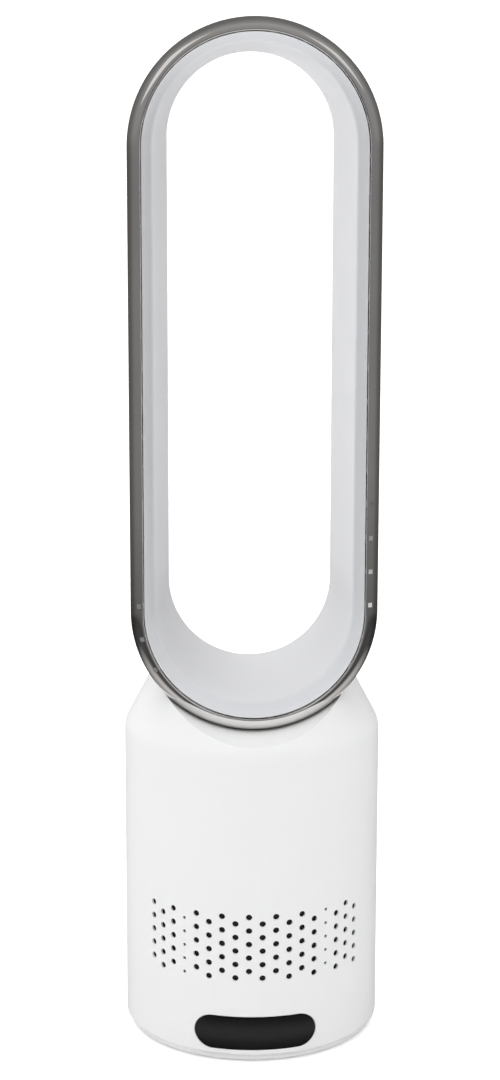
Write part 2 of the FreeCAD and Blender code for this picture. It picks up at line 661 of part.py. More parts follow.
def diffuser():
    bucket = tube(BUCKET_RADIUS - 2.5, BUCKET_RADIUS, 215.0, 262.0)
    floor = tube(8.0, BUCKET_RADIUS - 1, 215.0, 217.5)
    sweep_radius = 70.0
    strip = tube(sweep_radius - 1.0, sweep_radius + 1.0, 220.0, 252.0, 65.0, -sweep_radius)
    region = tube(BUCKET_RADIUS - 1, DUCT_RADIUS, 210, 260)
    strip = strip.common(block(0, 120, -20, 60, 200, 260)).common(region)
    return joined([bucket, floor] + spread(strip, DIFFUSER_VANES, 20.0))


def tail_cone():
    """Closes the motor bucket on its downstream side."""
    inner = BUCKET_RADIUS - 2.5
    return lathe([
        (0, 286), (4, 286), ("arc", (25, 277.5), (inner, 262)),
        (BUCKET_RADIUS, 262), ("arc", (26.5, 279.5), (4, 288.5)), (0, 288.5),
    ])


def fan_housing():
    foot_z = BELLMOUTH_Z + 3.0
    outer = DUCT_RADIUS + HOUSING_WALL
    housing = lathe([
        (DUCT_RADIUS, foot_z), (DUCT_RADIUS + 9, foot_z), (DUCT_RADIUS + 9, foot_z + HOUSING_WALL),
        (outer, foot_z + HOUSING_WALL), (outer, HOUSING_TOP), (DUCT_RADIUS, HOUSING_TOP),
    ])
    return housing.cut(cylinder(LEAD_HOLE_RADIUS, 0, 200, -LEAD_CIRCLE))


def transition_duct():
    """Narrows from the fan housing to the round neck, with a flange at each end."""
    inner_top = NECK_RADIUS - NECK_WALL
    top = NECK_FLANGE_Z - GASKET_THICKNESS
    duct = lathe([
        (DUCT_RADIUS, HOUSING_TOP), (DUCT_RADIUS + 6, HOUSING_TOP),
        (DUCT_RADIUS + 6, HOUSING_TOP + HOUSING_WALL),
        (DUCT_RADIUS + 0.5, HOUSING_TOP + HOUSING_WALL), (NECK_RADIUS + 2, top - HOUSING_WALL),
        (NECK_FLANGE_RADIUS, top - HOUSING_WALL), (NECK_FLANGE_RADIUS, top), (inner_top, top),
        (inner_top, top - 4.0),
    ])
    hole = cylinder(SCREW_RADIUS, 250, 290, NECK_SCREW_CIRCLE)
    return duct.cut(Part.makeCompound(spread(hole, 6)))


# ---------------------------------------------------------------- shoulder
def shoulder_form(inset, bottom):
    """The solid cylinder and cone of the shoulder, with its crease rounded off."""
    top = SHOULDER_CUT_Z
    lean = math.degrees(math.atan(SHOULDER_SLOPE))
    rounding = CREASE_ROUNDING - inset
    reach = rounding * math.tan(math.radians(lean / 2))
    radius = BASE_RADIUS - inset
    crease = CREASE_Z - inset * math.tan(math.radians(lean / 2))
    along = reach * math.cos(math.radians(lean))
    end = (radius - along * SHOULDER_SLOPE, crease + along)
    middle = on_arc((radius - rounding, crease - reach), rounding, lean / 2)
    tip = (radius - SHOULDER_SLOPE * (top - crease), top)
    return lathe([
        (0, bottom), (radius, bottom), (radius, crease - reach), ("arc", middle, end),
        tip, (0, top),
    ])


def saddle_form(gap):
    """The space kept for the loop's lower half-circle, run out to the front and back."""
    front = LOOP_RADIUS + gap
    rear = REAR_RADIUS + gap
    face = outline_face(
        [(0, -140), (front, -140), (front, BEAD_BACK), (rear, 58), (rear, 140), (0, 140)],
        lambda p: V(p[0], p[1], LOOP_ARC_LOW))
    return face.revolve(V(0, 0, LOOP_ARC_LOW), Y_AXIS, 360)


def shoulder_cap():
    outer = shoulder_form(0.0, SHELL_TOP).cut(saddle_form(SADDLE_GAP))
    hollow = shoulder_form(2.6, SHELL_TOP - 1).cut(saddle_form(SADDLE_GAP + 2.6))
    cap = outer.cut(hollow)
    skirt = tube(DROP_IN_RADIUS - 2.4, DROP_IN_RADIUS, SHELL_TOP - 12, SHELL_TOP + 3)
    shelf = tube(DROP_IN_RADIUS - 1.0, SHELL_INNER + 1.0, SHELL_TOP, SHELL_TOP + 3)
    cap = joined([cap, skirt, shelf])
    return cap.cut(cylinder(NECK_RADIUS + 0.5, 250, 330, 0, NECK_Y))


def neck_gasket():
    ring = tube(NECK_RADIUS - NECK_WALL + 0.5, 62.0, NECK_FLANGE_Z - GASKET_THICKNESS, NECK_FLANGE_Z)
    hole = cylinder(SCREW_RADIUS, 250, 290, NECK_SCREW_CIRCLE)
    return ring.cut(Part.makeCompound(spread(hole, 6)))


# ---------------------------------------------------------------- loop
def rear_corner():
    """Centre and middle point of the arc that rounds the loop's outer rear edge."""
    corner = (REAR_RADIUS - REAR_ROUNDING, LOOP_REAR - REAR_ROUNDING)
    return corner, on_arc(corner, REAR_ROUNDING, 45)


def loop_outer_shell():
    corner, middle = rear_corner()
    inner_round = REAR_ROUNDING - LOOP_WALL
    front = LOOP_RADIUS - 0.2
    ring = loop_ring([
        (front, BEAD_BACK), (REAR_RADIUS, corner[1]),
        ("arc", middle, (corner[0], LOOP_REAR)), (REAR_SEAM_RADIUS, LOOP_REAR),
        (REAR_SEAM_RADIUS, LOOP_REAR - LOOP_WALL), (corner[0], LOOP_REAR - LOOP_WALL),
        ("arc", on_arc(corner, inner_round, 45), (REAR_RADIUS - LOOP_WALL, corner[1])),
        (front - LOOP_WALL, BEAD_BACK),
    ])
    return ring.cut(cylinder(NECK_RADIUS - NECK_WALL, 250, 340, 0, NECK_Y))


def loop_inner_wall():
    corner = (THROAT_RADIUS + REAR_ROUNDING, LOOP_REAR - REAR_ROUNDING)
    inner_round = REAR_ROUNDING - LOOP_WALL
    return loop_ring([
        (LIP_RADIUS, LOOP_FRONT + 1.5), (CHAMFER_RADIUS, CHAMFER_Y), (THROAT_RADIUS, corner[1]),
        ("arc", on_arc(corner, REAR_ROUNDING, 135), (corner[0], LOOP_REAR)),
        (REAR_SEAM_RADIUS, LOOP_REAR), (REAR_SEAM_RADIUS, LOOP_REAR - LOOP_WALL),
        (corner[0], LOOP_REAR - LOOP_WALL),
        ("arc", on_arc(corner, inner_round, 135), (THROAT_RADIUS + LOOP_WALL, corner[1])),
        (CHAMFER_RADIUS + LOOP_WALL, CHAMFER_Y + 0.8), (LIP_RADIUS + 0.2, LOOP_FRONT + 2.9),
    ])


def rim_bead():
    """The mirror-bright bead: a hollow quarter-round from the outer shell to the air slot,
    turned in through a small lip."""
    outer_round = LOOP_RADIUS - BEAD_CREST_RADIUS
    centre = (BEAD_CREST_RADIUS, LOOP_FRONT + outer_round)
    hollow = outer_round - BEAD_WALL
    lip_round = BEAD_CREST_RADIUS - BEAD_LIP_RADIUS
    lip_centre = (BEAD_CREST_RADIUS, LOOP_FRONT + lip_round)
    return loop_ring([
        (LOOP_RADIUS, BEAD_BACK), (LOOP_RADIUS, centre[1]),
        ("arc", on_arc(centre, outer_round, -45), (BEAD_CREST_RADIUS, LOOP_FRONT)),
        ("arc", on_arc(lip_centre, lip_round, 225), (BEAD_LIP_RADIUS, lip_centre[1])),
        (BEAD_LIP_RADIUS, LOOP_FRONT + BEAD_WALL), (BEAD_CREST_RADIUS, LOOP_FRONT + BEAD_WALL),
        ("arc", on_arc(centre, hollow, -45), (LOOP_RADIUS - BEAD_WALL, centre[1])),
        (LOOP_RADIUS - BEAD_WALL, BEAD_BACK),
    ])


def slot_points(count, radius):
    """Evenly spaced places round the loop's line at this half-width: (angle, height offset).
    The angle turns a piece made at the bottom of the loop, and the height lifts it."""
    straight = LOOP_ARC_HIGH - LOOP_ARC_LOW
    quarter = math.pi * radius / 2
    total = 4 * quarter + 2 * straight
    places = []
    for index in range(count):
        run = (index + 0.5) * total / count
        side = 1 if run < total / 2 else -1
        run = min(run, total - run)
        if run < quarter:
            places.append((side * math.degrees(run / radius), 0.0))
        elif run < quarter + straight:
            places.append((side * 90.0, run - quarter))
        else:
            past = run - quarter - straight
            places.append((side * (90 + math.degrees(past / radius)), straight))
    return places


def slot_spacers():
    """Small bridges behind the air slot, which keep its width even all the way round."""
    half = 2.4
    front = LOOP_FRONT + 3.4
    depth = 3.4
    inner = LIP_RADIUS - 0.7
    outer = BEAD_LIP_RADIUS + 6.7
    path = [(inner, front), (outer, front), (outer, front + depth), (inner, front + depth)]
    face = outline_face(path, lambda p: V(-half, p[1], LOOP_ARC_LOW - p[0]))
    spacer = face.extrude(V(2 * half, 0, 0))
    walls = Part.makeCompound([loop_inner_wall(), rim_bead()])
    spacers = []
    for angle, lift in slot_points(SPACER_COUNT, SPACER_RADIUS):
        piece = turned(spacer, -angle, V(0, 0, LOOP_ARC_LOW), Y_AXIS)
        piece.translate(V(0, 0, lift))
        spacers.append(piece.cut(walls))
    return Part.makeCompound(spacers)


def rim_band():
    """A strip bonded across the inside of the joint between the bead and the outer shell."""
    face = LOOP_RADIUS - 0.2 - LOOP_WALL
    thin = 1.9
    return loop_ring([
        (face, BEAD_BACK), (face - 0.3, BEAD_BACK + 5), (face - thin, BEAD_BACK + 5),
        (face - thin, BEAD_BACK - 4), (face - 0.2, BEAD_BACK - 4), (face - 0.2, BEAD_BACK),
    ])


def seam_seal():
    """A soft strip over the rear seam, on the inside of the loop."""
    back = LOOP_REAR - LOOP_WALL
    return loop_ring([
        (REAR_SEAM_RADIUS - 3, back), (REAR_SEAM_RADIUS + 3, back),
        (REAR_SEAM_RADIUS + 3, back - 1.5), (REAR_SEAM_RADIUS - 3, back - 1.5),
    ])


def loop_blank():
    """The loop's outside as a filled solid, used to shape what meets it."""
    corner, middle = rear_corner()
    front = LOOP_RADIUS - 0.2
    face = outline_face(
        [(0, BEAD_BACK), (front, BEAD_BACK), (REAR_RADIUS, corner[1]),
         ("arc", middle, (corner[0], LOOP_REAR)), (0, LOOP_REAR)],
        lambda p: V(p[0], p[1], LOOP_ARC_LOW))
    return face.revolve(V(0, 0, LOOP_ARC_LOW), Y_AXIS, 360)


def loop_neck():
    pipe = tube(NECK_RADIUS - NECK_WALL, NECK_RADIUS, NECK_FLANGE_Z, 330.0, 0, NECK_Y)
    flange = tube(NECK_RADIUS - NECK_WALL + 0.5, NECK_FLANGE_RADIUS, NECK_FLANGE_Z, NECK_FLANGE_Z + 3.0)
    hole = cylinder(SCREW_RADIUS, 250, 290, NECK_SCREW_CIRCLE)
    neck = joined([pipe, flange]).cut(Part.makeCompound(spread(hole, 6)))
    neck = neck.cut(cylinder(NECK_RADIUS - NECK_WALL, 260, 340, 0, NECK_Y))
    return neck.cut(loop_blank())


def neck_screws():
    one = screw(NECK_SCREW_CIRCLE, 0, NECK_FLANGE_Z + 3.0, 7.5)
    return Part.makeCompound(spread(one, 6))


# ---------------------------------------------------------------- write every piece
PIECES = [
    foot_plate, ballast_plate, rubber_feet, lower_bearing_race, fixed_sun_gear,
    spindle_retainer, retainer_screws,
    bearing_cage, bearing_balls,
    base_pan, upper_bearing_race, shell_screws, oscillation_motor, motor_ear_screws,
    drive_pinion,
    base_shell, display_window, display_bezel, display_board, display_digits, ir_receiver,
    power_inlet, control_board, board_parts, display_lead, power_lead, motor_lead,
    electronics_tray, dust_filter, filter_frame, inlet_bellmouth,
    impeller, impeller_nut, motor_shaft, rotor_magnet,
    motor_stator, motor_can, motor_bearings, motor_mounts, diffuser, tail_cone,
    fan_housing, transition_duct,
    shoulder_cap, neck_gasket, loop_neck, neck_screws,
    loop_outer_shell, loop_inner_wall, rim_bead, slot_spacers, rim_band, seam_seal,
]

os.makedirs("parts", exist_ok=True)
for piece in PIECES:
    shape = piece()
    shape.exportStep("parts/" + piece.__name__ + ".step")
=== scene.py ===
import bmesh
import bpy
import json
import math
from mathutils import Matrix, Vector


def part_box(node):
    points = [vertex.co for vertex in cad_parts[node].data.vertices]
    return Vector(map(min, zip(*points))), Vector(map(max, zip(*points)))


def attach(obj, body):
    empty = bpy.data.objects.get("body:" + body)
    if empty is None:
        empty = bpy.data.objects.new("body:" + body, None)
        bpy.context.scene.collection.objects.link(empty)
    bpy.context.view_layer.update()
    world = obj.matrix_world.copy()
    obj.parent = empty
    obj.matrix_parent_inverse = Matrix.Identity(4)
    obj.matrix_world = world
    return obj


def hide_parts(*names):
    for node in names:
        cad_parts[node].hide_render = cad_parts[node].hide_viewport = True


# Bladeless tower fan: looks built around the fixed CAD frame. Metres, +Z up, front at -Y.

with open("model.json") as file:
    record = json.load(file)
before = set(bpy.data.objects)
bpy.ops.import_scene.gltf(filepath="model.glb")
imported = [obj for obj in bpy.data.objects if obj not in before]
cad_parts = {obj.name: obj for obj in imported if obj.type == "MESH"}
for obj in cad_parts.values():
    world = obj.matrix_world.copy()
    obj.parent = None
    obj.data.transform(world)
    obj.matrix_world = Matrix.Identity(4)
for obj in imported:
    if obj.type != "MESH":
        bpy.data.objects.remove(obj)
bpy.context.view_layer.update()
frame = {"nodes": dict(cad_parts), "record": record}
NODES = frame["nodes"]
MM = 0.001
WHITE = (1.0, 1.0, 1.0)
FINE_GRAIN = 1400.0

# The loop's section is given by its distance from the loop's middle line and by y.
BEAD_LOW, BEAD_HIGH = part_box("rim_bead")
WALL_LOW, WALL_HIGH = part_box("loop_inner_wall")
LENS_LOW, LENS_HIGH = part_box("display_window")
LOOP_RADIUS = BEAD_HIGH[0]
LOOP_FRONT = BEAD_LOW[1]
BEAD_BACK = BEAD_HIGH[1]
ARC_LOW = BEAD_LOW[2] + LOOP_RADIUS
ARC_HIGH = BEAD_HIGH[2] - LOOP_RADIUS
BEAD_CREST = 98.2 * MM
BEAD_LIP = 96.8 * MM
BEAD_WALL = 2.0 * MM
BEAD_INNER_STEPS = 12
LIP = 96.0 * MM
CHAMFER = 86.9 * MM
CHAMFER_Y = -45.0 * MM
THROAT = 74.2 * MM
LOOP_WALL = 2.4 * MM
REAR_SEAM = 88.0 * MM
SEAM_GAP = 0.1 * MM
LIP_ROUNDING = 0.25 * MM
CHAMFER_ROUNDING = 22.0 * MM
THROAT_ROUNDING = 60.0 * MM
REAR_ROUNDING = 8.0 * MM
SEAM_ROUNDING = 0.4 * MM
ROUNDING_STEPS = 8
ARC_STEPS = 120
SIDE_STEPS = 24
SHARP_EDGE = math.radians(32.0)

# The pale marks on the bead, one in front of each slot spacer that shows. Their brightness is
# painted light, palest at the lower of the two heights below and fading to painted shade at the
# upper one. MARK_FROM and MARK_TO are degrees on the bead's round.
SPACER_LINE = 100.5 * MM
SPACER_PITCH = 29.9 * MM
MARK_LENGTH = 4.0 * MM
MARK_LIFT = 0.03 * MM
MARK_FROM, MARK_TO = -85, -64
MARK_STEPS = 8
MARK_PAINTED_LIGHT_Z = 400 * MM
MARK_PAINTED_SHADE_Z = 500 * MM
MARKS = {"right": (5, 6, 7, 8), "left": (3, 4, 5)}


# ---------------------------------------------------------------- material building
def new_material(name):
    """A node material with its Principled shader and object coordinates, in metres."""
    material = bpy.data.materials.new(name)
    material.use_nodes = True
    tree = material.node_tree
    shader = tree.nodes["Principled BSDF"]
    place = tree.nodes.new("ShaderNodeTexCoord")
    return material, tree, shader, place.outputs["Object"]


def noise(tree, vector, scale, detail=2.0, roughness=0.5, stretch=None):
    """A noise texture's value. scale is features per metre; stretch scales each axis."""
    if stretch:
        mapping = tree.nodes.new("ShaderNodeMapping")
        mapping.inputs["Scale"].default_value = stretch
        tree.links.new(vector, mapping.inputs["Vector"])
        vector = mapping.outputs["Vector"]
    node = tree.nodes.new("ShaderNodeTexNoise")
    node.inputs["Scale"].default_value = scale
    node.inputs["Detail"].default_value = detail
    node.inputs["Roughness"].default_value = roughness
    tree.links.new(vector, node.inputs["Vector"])
    return node.outputs["Fac"]


def ramp(tree, value, low, high, start=0.35, end=0.65):
    """Two colours or greys blended by a value between start and end."""
    node = tree.nodes.new("ShaderNodeValToRGB")
    node.color_ramp.elements[0].position = start
    node.color_ramp.elements[1].position = end
    node.color_ramp.elements[0].color = (*low, 1.0)
    node.color_ramp.elements[1].color = (*high, 1.0)
    tree.links.new(value, node.inputs["Fac"])
    return node.outputs["Color"]


def level(tree, value, low, high):
    """A value remapped from 0..1 to low..high."""
    node = tree.nodes.new("ShaderNodeMapRange")
    node.inputs["To Min"].default_value = low
    node.inputs["To Max"].default_value = high
    tree.links.new(value, node.inputs["Value"])
    return node.outputs["Result"]


def bump(tree, shader, height, depth):
    """Raises the shader's surface by a height of up to this depth."""
    node = tree.nodes.new("ShaderNodeBump")
    node.inputs["Distance"].default_value = depth
    node.inputs["Strength"].default_value = 1.0
    tree.links.new(height, node.inputs["Height"])
    tree.links.new(node.outputs["Normal"], shader.inputs["Normal"])


def axis_share(tree, place, axis, low, high, blend="LINEAR"):
    """How far a place's X, Y or Z has gone from low to high, from 0 to 1."""
    split = tree.nodes.new("ShaderNodeSeparateXYZ")
    tree.links.new(place, split.inputs["Vector"])
    share = tree.nodes.new("ShaderNodeMapRange")
    share.interpolation_type = blend
    share.inputs["From Min"].default_value = low
    share.inputs["From Max"].default_value = high
    tree.links.new(split.outputs[axis], share.inputs["Value"])
    return share.outputs["Result"]


def tones(tree, value, stops, tint=WHITE, blend="LINEAR"):
    """Tinted greys at a value's stops, which are (value, grey) pairs in rising order."""
    node = tree.nodes.new("ShaderNodeValToRGB")
    node.color_ramp.interpolation = blend
    elements = node.color_ramp.elements
    elements.remove(elements[1])
    elements[0].position = stops[0][0]
    for position, grey in stops[1:]:
        elements.new(position)
    for element, (position, grey) in zip(elements, stops):
        element.color = (*(grey * part for part in tint), 1.0)
    tree.links.new(value, node.inputs["Fac"])
    return node.outputs["Color"]


def mixed(tree, first, second, share=None):
    """Two colours blended by a share or, with no share, multiplied."""
    node = tree.nodes.new("ShaderNodeMix")
    node.data_type = "RGBA"
    if share:
        tree.links.new(share, node.inputs[0])
    else:
        node.blend_type = "MULTIPLY"
        node.inputs[0].default_value = 1.0
    tree.links.new(first, node.inputs[6])
    tree.links.new(second, node.inputs[7])
    return node.outputs[2]


# ---------------------------------------------------------------- materials
def moulded_plastic(name, colour, rough, grain=FINE_GRAIN, depth=0.02 * MM, shade=0.03):
    """Moulded plastic: a fine spark texture, faint flow marks and uneven gloss."""
    material, tree, shader, where = new_material(name)
    flow = noise(tree, where, 9.0, 3.0)
    dark = tuple(c * (1.0 - shade) for c in colour)
    tree.links.new(ramp(tree, flow, dark, colour), shader.inputs["Base Color"])
    patches = noise(tree, where, 35.0, 2.0)
    tree.links.new(level(tree, patches, rough - 0.05, rough + 0.05), shader.inputs["Roughness"])
    bump(tree, shader, noise(tree, where, grain, 2.0, 0.6), depth)
    return material


def metal(name, colour, rough):
    """Machined or plated metal with fine directional marks."""
    material, tree, shader, where = new_material(name)
    lines = noise(tree, where, 700.0, 3.0, 0.6, (1.0, 1.0, 12.0))
    dark = tuple(c * 0.86 for c in colour)
    tree.links.new(ramp(tree, lines, dark, colour), shader.inputs["Base Color"])
    tree.links.new(level(tree, lines, rough - 0.06, rough + 0.08), shader.inputs["Roughness"])
    bump(tree, shader, lines, 0.01 * MM)
    shader.inputs["Metallic"].default_value = 1.0
    return material


def mirror_plastic():
    """Metallized plastic: a mirror finish with a faint flow ripple and uneven gloss."""
    material, tree, shader, where = new_material("mirror_plastic")
    drift = noise(tree, where, 14.0, 2.0)
    colour = ramp(tree, drift, (0.80, 0.785, 0.77), (0.86, 0.85, 0.84))
    tree.links.new(colour, shader.inputs["Base Color"])
    tree.links.new(level(tree, noise(tree, where, 60.0), 0.06, 0.12), shader.inputs["Roughness"])
    shader.inputs["Metallic"].default_value = 1.0
    bump(tree, shader, noise(tree, where, 30.0, 1.0), 0.02 * MM)
    return material


def throat_plastic():
    """Satin white inside the loop, with painted shade darker towards the bottom and painted light
    near the top. The front chamfer is cooler and greyer, partly its own colour and partly painted
    shade, darkest along the sides and lighter at the top and bottom."""
    material, tree, shader, where = new_material("throat_plastic")
    chamfer = axis_share(tree, where, "Y", CHAMFER_Y + 4 * MM, CHAMFER_Y - 5 * MM, "SMOOTHSTEP")
    height = axis_share(tree, where, "Z", WALL_LOW[2], WALL_HIGH[2])
    # Painted shade and light on the throat: darker near the bottom, lighter near the top.
    throat = tones(tree, height, (
        (0.0, 0.70), (0.09, 0.73), (0.20, 0.84), (0.90, 0.84), (0.97, 0.90)), (0.99, 0.993, 1.01))
    # The chamfer: its own greyer colour, with painted shade along the sides and painted light at
    # the top and bottom.
    front = tones(tree, height, (
        (0.0, 0.61), (0.06, 0.61), (0.17, 0.54), (0.40, 0.49), (0.85, 0.49), (0.97, 0.63)),
        (0.985, 0.997, 1.025))
    tree.links.new(mixed(tree, throat, front, chamfer), shader.inputs["Base Color"])
    tree.links.new(level(tree, noise(tree, where, 35.0), 0.27, 0.35), shader.inputs["Roughness"])
    bump(tree, shader, noise(tree, where, FINE_GRAIN, 2.0, 0.6), 0.01 * MM)
    return material


def window_plastic():
    """Black tinted lens: deep and polished, with painted light making it a little lighter half way
    up.
    """
    material, tree, shader, where = new_material("window_plastic")
    height = axis_share(tree, where, "Z", LENS_LOW[2], LENS_HIGH[2])
    # Painted light: a lighter band half way up the lens, black at its top and bottom.
    painted_light_band = tones(tree, height, ((0.0, 0.005), (0.5, 0.021), (1.0, 0.005)), (1.0, 1.0, 1.05), "EASE")
    cloud = ramp(tree, noise(tree, where, 22.0, 2.0), (0.92, 0.92, 0.92), WHITE)
    tree.links.new(mixed(tree, painted_light_band, cloud), shader.inputs["Base Color"])
    tree.links.new(level(tree, noise(tree, where, 90.0), 0.10, 0.18), shader.inputs["Roughness"])
    shader.inputs["Coat Weight"].default_value = 0.6
    shader.inputs["Coat Roughness"].default_value = 0.08
    return material


def spacer_mark_painted_light():
    """Pale plastic showing through the rim, with painted light: palest low on the right, fading to
    painted shade higher up and on the left.
    """
    material, tree, shader, where = new_material("spacer_mark_painted_light")
    # Painted light: palest low down, fading to painted shade higher up.
    height = axis_share(tree, where, "Z", MARK_PAINTED_LIGHT_Z, MARK_PAINTED_SHADE_Z)
    painted_light_fade = ramp(tree, height, (0.55, 0.54, 0.53), (0.11, 0.11, 0.11), 0.05, 0.95)
    # Painted shade: the marks on the left are dimmer.
    side = axis_share(tree, where, "X", -10 * MM, 10 * MM)
    painted_shade_left = ramp(tree, side, (0.33, 0.33, 0.35), WHITE, 0.0, 1.0)
    tree.links.new(mixed(tree, painted_light_fade, painted_shade_left), shader.inputs["Base Color"])
    tree.links.new(level(tree, noise(tree, where, 35.0), 0.25, 0.35), shader.inputs["Roughness"])
    bump(tree, shader, noise(tree, where, FINE_GRAIN, 2.0, 0.6), 0.01 * MM)
    return material


def filter_mesh():
    """Dark dust mesh: fine irregular cells seen through the inlet holes."""
    material, tree, shader, where = new_material("filter_mesh")
    cells = tree.nodes.new("ShaderNodeTexVoronoi")
    cells.inputs["Scale"].default_value = 900.0
    tree.links.new(where, cells.inputs["Vector"])
    gap, thread = (0.004, 0.004, 0.005), (0.03, 0.03, 0.032)
    colour = ramp(tree, cells.outputs["Distance"], gap, thread, 0.1, 0.6)
    tree.links.new(colour, shader.inputs["Base Color"])
    shader.inputs["Roughness"].default_value = 0.9
    bump(tree, shader, cells.outputs["Distance"], 0.3 * MM)
    return material


def circuit_board():
    """Green solder mask over copper tracks."""
    material, tree, shader, where = new_material("circuit_board")
    bricks = tree.nodes.new("ShaderNodeTexBrick")
    bricks.inputs["Scale"].default_value = 90.0
    bricks.inputs["Mortar Size"].default_value = 0.06
    bricks.inputs["Color1"].default_value = (0.015, 0.10, 0.035, 1)
    bricks.inputs["Color2"].default_value = (0.012, 0.085, 0.03, 1)
    bricks.inputs["Mortar"].default_value = (0.04, 0.19, 0.06, 1)
    tree.links.new(where, bricks.inputs["Vector"])
    tree.links.new(bricks.outputs["Color"], shader.inputs["Base Color"])
    shader.inputs["Roughness"].default_value = 0.35
    bump(tree, shader, bricks.outputs["Fac"], 0.03 * MM)
    return material


MATERIALS = {
    "base_white": moulded_plastic("base_white", (0.772, 0.777, 0.774), 0.42, shade=0.012),
    "loop_white": moulded_plastic("loop_white", (0.78, 0.78, 0.78), 0.34, shade=0.015),
    "throat_white": throat_plastic(),
    "rim_mirror": mirror_plastic(),
    "window_black": window_plastic(),
    "spacer_mark": spacer_mark_painted_light(),
    "foot_plastic": moulded_plastic("foot_plastic", (0.80, 0.80, 0.80), 0.5),
    "foot_rubber": moulded_plastic("foot_rubber", (0.03, 0.03, 0.03), 0.85, 700.0, 0.05 * MM),
    "inner_plastic": moulded_plastic("inner_plastic", (0.55, 0.55, 0.53), 0.5),
    "inner_black": moulded_plastic("inner_black", (0.025, 0.025, 0.028), 0.5),
    "gear_plastic": moulded_plastic("gear_plastic", (0.70, 0.67, 0.58), 0.4),
    "impeller_plastic": moulded_plastic("impeller_plastic", (0.06, 0.06, 0.065), 0.45),
    "ballast_steel": metal("ballast_steel", (0.06, 0.06, 0.065), 0.5),
    "race_steel": metal("race_steel", (0.56, 0.56, 0.57), 0.25),
    "motor_steel": metal("motor_steel", (0.48, 0.48, 0.49), 0.35),
    "stator_steel": metal("stator_steel", (0.45, 0.20, 0.08), 0.4),
    "magnet_dark": metal("magnet_dark", (0.10, 0.10, 0.11), 0.45),
    "screw_steel": metal("screw_steel", (0.55, 0.55, 0.56), 0.3),
    "ball_chrome": metal("ball_chrome", (0.72, 0.72, 0.74), 0.12),
    "nut_brass": metal("nut_brass", (0.70, 0.50, 0.20), 0.25),
    "board_green": circuit_board(),
    "digit_white": moulded_plastic("digit_white", (0.65, 0.65, 0.63), 0.5),
    "component_dark": moulded_plastic("component_dark", (0.03, 0.03, 0.035), 0.5),
    "lead_black": moulded_plastic("lead_black", (0.02, 0.02, 0.02), 0.6),
    "filter_dark": filter_mesh(),
}

for entry in frame["record"]["subparts"]:
    node = NODES[entry["node"]]
    node.data.materials.clear()
    node.data.materials.append(MATERIALS[entry["material_slot"]])


# ---------------------------------------------------------------- mesh building
def arc(centre, radius, start, end, steps):
    """Points of an arc in a section, from start to end degrees, both ends included."""
    points = []
    for step in range(steps + 1):
        angle = math.radians(start + (end - start) * step / steps)
        points.append((centre[0] + radius * math.cos(angle), centre[1] + radius * math.sin(angle)))
    return points


def softened(corners):
    """A closed section from (w, y, rounding) corners, each rounded by a tangent arc."""
    points = []
    count = len(corners)
    for index, (w, y, rounding) in enumerate(corners):
        here = Vector((w, y))
        if rounding == 0:
            points.append((w, y))
            continue
        before = (Vector(corners[index - 1][:2]) - here).normalized()
        after = (Vector(corners[(index + 1) % count][:2]) - here).normalized()
        half = before.angle(after) / 2
        centre = here + (before + after).normalized() * (rounding / math.sin(half))
        start = here + before * (rounding / math.tan(half)) - centre
        end = here + after * (rounding / math.tan(half)) - centre
        turn = start.angle_signed(end)
        for step in range(ROUNDING_STEPS + 1):
            spoke = start.copy()
            spoke.rotate(Matrix.Rotation(-turn * step / ROUNDING_STEPS, 2))
            points.append(tuple(centre + spoke))
    return points


def loop_place(w, y, run):
    """A point at distance w from the loop's middle line. run goes from 0 to 4 round the
    loop: the lower half-circle, the right side, the upper half-circle and the left side."""
    side, share = int(run) % 4, run - int(run)
    if side == 0:
        angle = math.pi * (share - 0.5)
        return (w * math.sin(angle), y, ARC_LOW - w * math.cos(angle))
    if side == 1:
        return (w, y, ARC_LOW + (ARC_HIGH - ARC_LOW) * share)
    if side == 2:
        angle = math.pi * (0.5 - share)
        return (w * math.sin(angle), y, ARC_HIGH + w * math.cos(angle))
    return (-w, y, ARC_HIGH + (ARC_LOW - ARC_HIGH) * share)


def loop_ring(name, section, material):
    """A closed section swept all the way round the loop."""
    runs = []
    for side, steps in enumerate((ARC_STEPS, SIDE_STEPS, ARC_STEPS, SIDE_STEPS)):
        runs += [side + step / steps for step in range(steps)]
    points = [loop_place(w, y, run) for run in runs for w, y in section]
    wide = len(section)
    faces = []
    for i in range(len(runs)):
        for j in range(wide):
            a = i * wide
            b = (i + 1) % len(runs) * wide
            k = (j + 1) % wide
            faces.append((a + j, b + j, b + k, a + k))
    return mesh_piece(name, points, faces, material)


def mesh_piece(name, points, faces, material):
    """An object from points and faces, smooth except at its sharp edges."""
    mesh = bpy.data.meshes.new(name)
    mesh.from_pydata(points, [], faces)
    shaping = bmesh.new()
    shaping.from_mesh(mesh)
    bmesh.ops.recalc_face_normals(shaping, faces=shaping.faces)
    shaping.to_mesh(mesh)
    shaping.free()
    mesh.shade_smooth()
    mesh.set_sharp_from_angle(angle=SHARP_EDGE)
    mesh.materials.append(material)
    piece = bpy.data.objects.new(name, mesh)
    bpy.context.scene.collection.objects.link(piece)
    return piece


# ---------------------------------------------------------------- loop
def bead_section():
    """The hollow quarter-round, from its outer rear edge over the crest and the lip."""
    outer = LOOP_RADIUS - BEAD_CREST
    centre = (BEAD_CREST, LOOP_FRONT + outer)
    lip = BEAD_CREST - BEAD_LIP
    section = [(LOOP_RADIUS, BEAD_BACK)]
    section += arc(centre, outer, 0, -90, 3 * ROUNDING_STEPS)
    section += arc((BEAD_CREST, LOOP_FRONT + lip), lip, 270, 180, ROUNDING_STEPS)[1:]
    section.append((BEAD_LIP, LOOP_FRONT + BEAD_WALL))
    section += arc(centre, outer - BEAD_WALL, -90, 0, BEAD_INNER_STEPS)
    section.append((LOOP_RADIUS - BEAD_WALL, BEAD_BACK))
    return section


